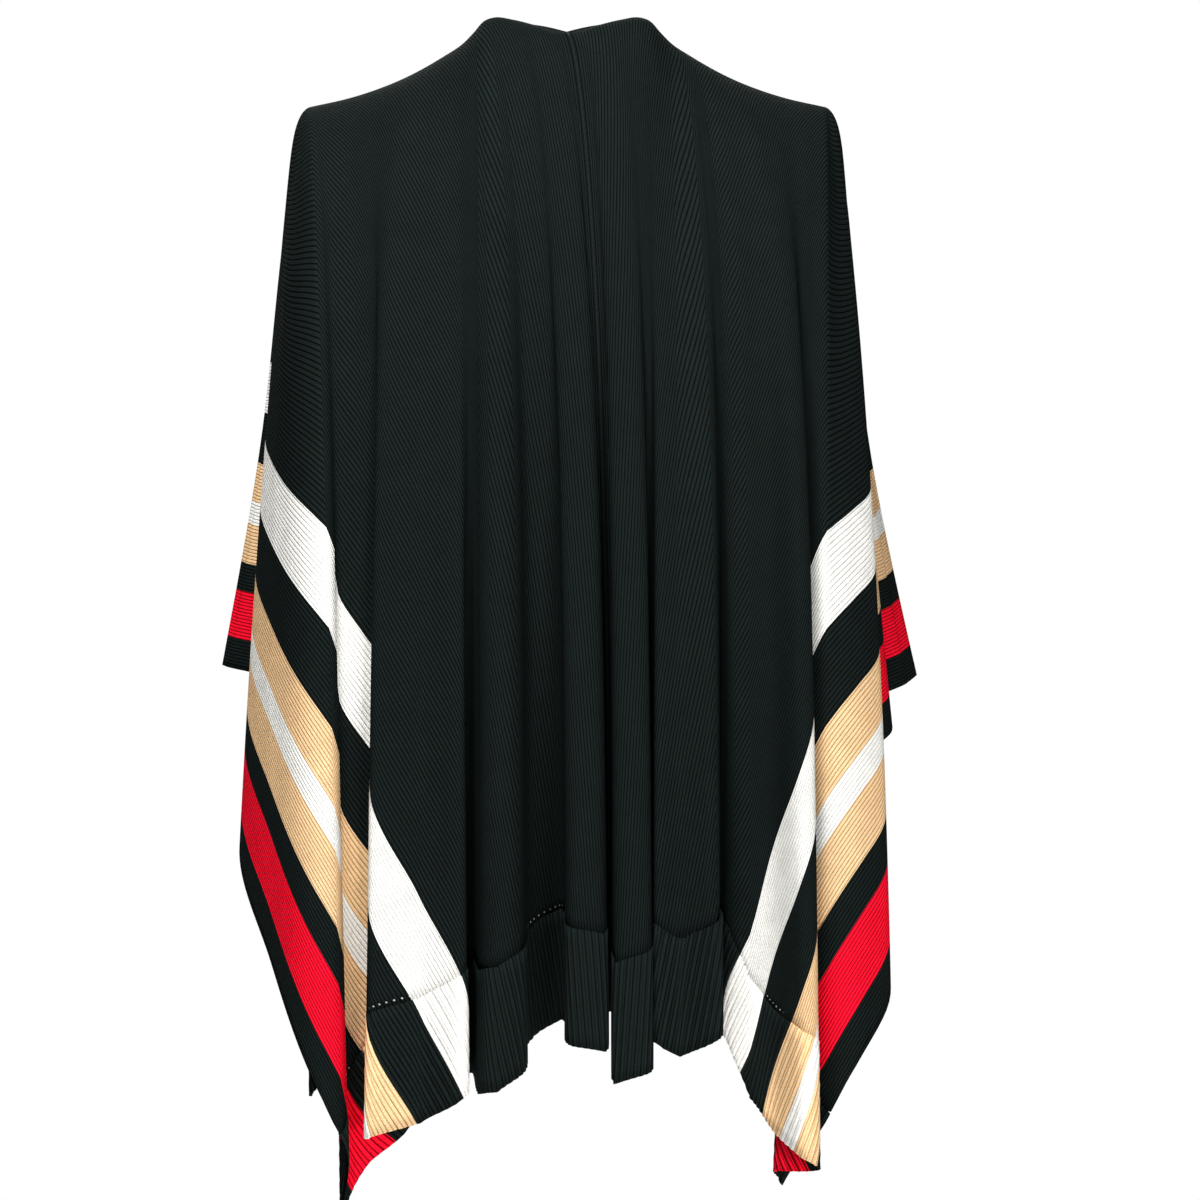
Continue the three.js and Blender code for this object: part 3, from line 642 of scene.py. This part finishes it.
# %%
def plain_yarn(name, colour):
    material = bpy.data.materials.new(name)
    material.use_nodes = True
    nodes, links = material.node_tree.nodes, material.node_tree.links
    yarn = nodes["Principled BSDF"]
    place = nodes.new("ShaderNodeTexCoord")
    twist = nodes.new("ShaderNodeTexWave")
    twist.bands_direction = "DIAGONAL"
    twist.inputs["Scale"].default_value = 140
    twist.inputs["Distortion"].default_value = 1.5
    links.new(place.outputs["Object"], twist.inputs["Vector"])
    ramp = nodes.new("ShaderNodeValToRGB")
    ramp.color_ramp.elements[0].color = tuple(0.6 * v for v in colour[:3]) + (1,)
    ramp.color_ramp.elements[1].color = colour
    links.new(twist.outputs[0], ramp.inputs[0])
    links.new(ramp.outputs[0], yarn.inputs["Base Color"])
    bump = nodes.new("ShaderNodeBump")
    bump.inputs["Strength"].default_value = 0.5
    bump.inputs["Distance"].default_value = 0.0006
    links.new(twist.outputs[0], bump.inputs["Height"])
    links.new(bump.outputs[0], yarn.inputs["Normal"])
    yarn.inputs["Roughness"].default_value = 0.9
    yarn.inputs["Specular IOR Level"].default_value = 0.15
    return material


seam.data.materials.append(plain_yarn("seam_yarn", BLACK))
for piece in panels.values():
    piece.data.materials.append(flat_knit)
for piece in ribs.values():
    piece.data.materials.append(rib_knit)
print("seam and", len(panels) + len(ribs), "knitted pieces have their yarn")

# %% [markdown]
# Each piece rides on the garment's one body and stands for its CAD node, which is hidden. The size of
# the flat cloth before it was hung is printed.

# %%
for name, piece in panels.items():
    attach(piece, "root")
    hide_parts(f"{name}_panel")
for name, piece in ribs.items():
    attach(piece, "root")
    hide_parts(f"{name}_rib")
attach(seam, "root")
print("flat panel:", round(WIDTH, 3), "by", round(2 * LENGTH * MM, 3), "m with its hems")

# %% [markdown]
# The studio is a round pale floor in a white room, lit by large soft lamps. The floor is
# below the garment and small enough to stay under the picture, as in the photograph, whose
# ground is plain white.

# %%
FLOOR = -1.4
FLOOR_RADIUS = 1.8
ROOM_LIGHT = 0.09
BACKDROP = 1.0
LAMPS = [
    ("key", (0.3, 1.25, 1.15), (0, 0, -0.15), (0.6, 0.5), 56),
    ("fill", (-0.9, 2.6, -0.6), (0, 0, -0.6), (0.8, 0.8), 47),
    ("front", (0.4, -3.2, 2.0), (0, -2.0, -1.3), (2.4, 2.4), 170),
]


def studio_floor():
    bm = bmesh.new()
    bmesh.ops.create_circle(bm, cap_ends=True, segments=96, radius=FLOOR_RADIUS)
    for vert in bm.verts:
        vert.co.z = FLOOR
    bmesh.ops.recalc_face_normals(bm, faces=bm.faces)
    mesh = bpy.data.meshes.new("studio_floor")
    bm.to_mesh(mesh)
    bm.free()
    floor = bpy.data.objects.new("studio_floor", mesh)
    bpy.context.collection.objects.link(floor)
    material = bpy.data.materials.new("pale_floor")
    material.use_nodes = True
    paper = material.node_tree.nodes["Principled BSDF"]
    paper.inputs["Base Color"].default_value = (0.93, 0.93, 0.93, 1)
    paper.inputs["Roughness"].default_value = 0.9
    mesh.materials.append(material)
    return floor


floor = studio_floor()


def soft_lamp(name, place, aim, size, power):
    lamp = bpy.data.lights.new(name, "AREA")
    lamp.shape = "RECTANGLE"
    lamp.size, lamp.size_y = size
    lamp.energy = power
    holder = bpy.data.objects.new(name, lamp)
    bpy.context.collection.objects.link(holder)
    holder.location = place
    direction = Vector(aim) - Vector(place)
    holder.rotation_euler = direction.to_track_quat("-Z", "Y").to_euler()


for lamp in LAMPS:
    soft_lamp(*lamp)
world = bpy.data.worlds.new("studio")
bpy.context.scene.world = world
world.use_nodes = True
paper = world.node_tree.nodes["Background"]
paper.inputs["Color"].default_value = (1, 1, 1, 1)
seen = world.node_tree.nodes.new("ShaderNodeLightPath")
strength = world.node_tree.nodes.new("ShaderNodeMapRange")
strength.inputs["To Min"].default_value = ROOM_LIGHT
strength.inputs["To Max"].default_value = BACKDROP
world.node_tree.links.new(seen.outputs["Is Camera Ray"], strength.inputs["Value"])
world.node_tree.links.new(strength.outputs["Result"], paper.inputs["Strength"])

# %% [markdown]
# The camera stands level behind the garment, as in the photograph, which shows its back.

# %%
CAMERA_AWAY = 2.1
CAMERA_AT = (-0.027, CAMERA_AWAY, -0.408)
FRAME_WIDTH = 0.996
camera_data = bpy.data.cameras.new("camera")
camera_data.sensor_fit = "HORIZONTAL"
camera_data.angle = 2 * math.atan(FRAME_WIDTH / 2 / CAMERA_AWAY)
camera = bpy.data.objects.new("camera", camera_data)
bpy.context.collection.objects.link(camera)
camera.location = CAMERA_AT
camera.rotation_euler = (math.radians(90), 0, math.radians(180))
bpy.context.scene.camera = camera
bpy.context.scene.view_settings.view_transform = "Standard"
print("the frame is", FRAME_WIDTH, "m wide at the shoulders")
